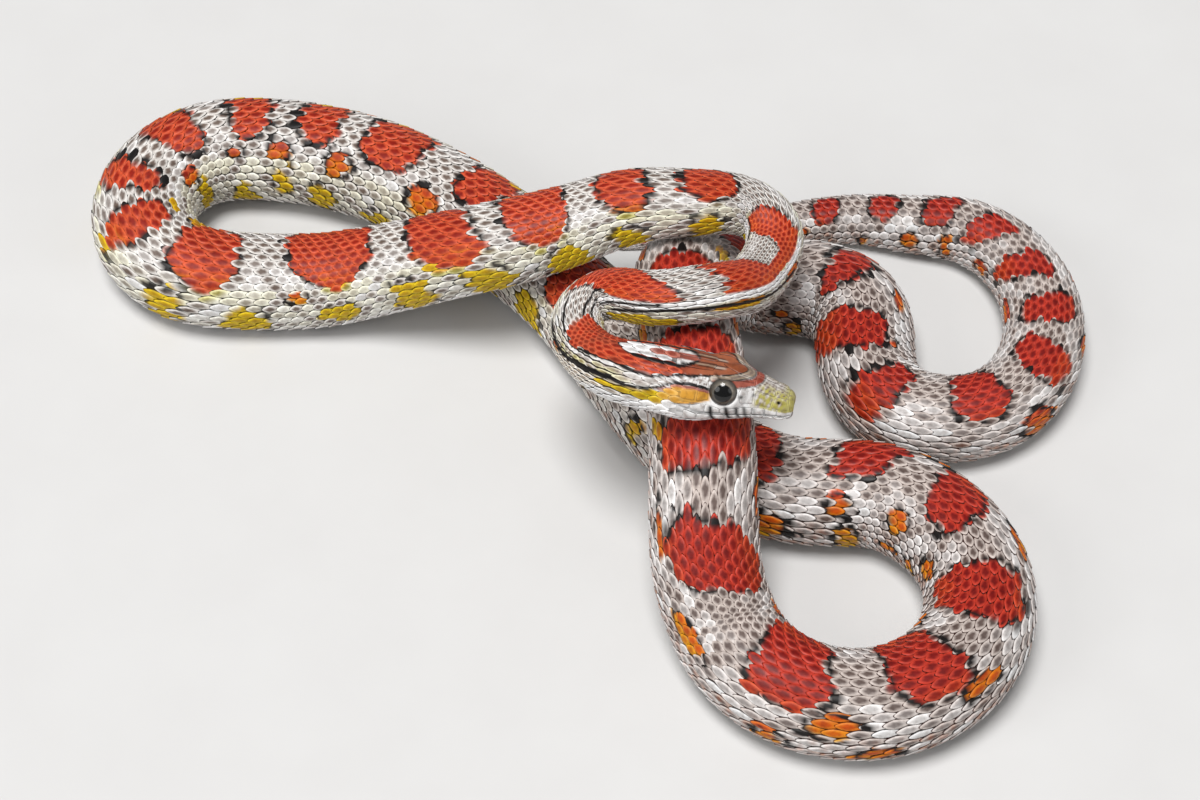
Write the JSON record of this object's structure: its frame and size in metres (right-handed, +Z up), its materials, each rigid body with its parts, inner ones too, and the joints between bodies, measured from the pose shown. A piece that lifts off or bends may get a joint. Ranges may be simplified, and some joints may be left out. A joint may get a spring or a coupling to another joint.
{
  "type": "corn snake",
  "caption": "Life-size corn snake lying in loose overlapping loops, its head resting on its own body.",
  "frame": {"origin": "middle of the outline on the floor, at the height of the belly flats", "axes": "+Z up; +X along the length of the pose, the way the head points; +Y away from the viewer of the picture"},
  "size_m": [0.231, 0.1848, 0.0538],
  "materials": {
    "body_scales": "satin keeled scales with red saddles on grey",
    "head_scales": "smooth head plates, orange and cream",
    "chin_scales": "smooth pale plates",
    "eye": "gloss, grey iris with a round black pupil"
  },
  "bodies": {
    "root": {"eye_left": "eye", "eye_right": "eye", "head": "head_scales", "lower_jaw": "chin_scales", "neck_1": "body_scales", "neck_2": "body_scales", "neck_3": "body_scales", "neck_4": "body_scales", "neck_5": "body_scales", "neck_6": "body_scales", "neck_7": "body_scales", "neck_8": "body_scales", "tail_1": "body_scales", "tail_2": "body_scales", "tail_3": "body_scales", "tail_4": "body_scales", "trunk_1": "body_scales", "trunk_10": "body_scales", "trunk_11": "body_scales", "trunk_12": "body_scales", "trunk_13": "body_scales", "trunk_14": "body_scales", "trunk_15": "body_scales", "trunk_16": "body_scales", "trunk_17": "body_scales", "trunk_18": "body_scales", "trunk_19": "body_scales", "trunk_2": "body_scales", "trunk_20": "body_scales", "trunk_21": "body_scales", "trunk_22": "body_scales", "trunk_3": "body_scales", "trunk_4": "body_scales", "trunk_5": "body_scales", "trunk_6": "body_scales", "trunk_7": "body_scales", "trunk_8": "body_scales", "trunk_9": "body_scales"}
  },
  "joints": []
}
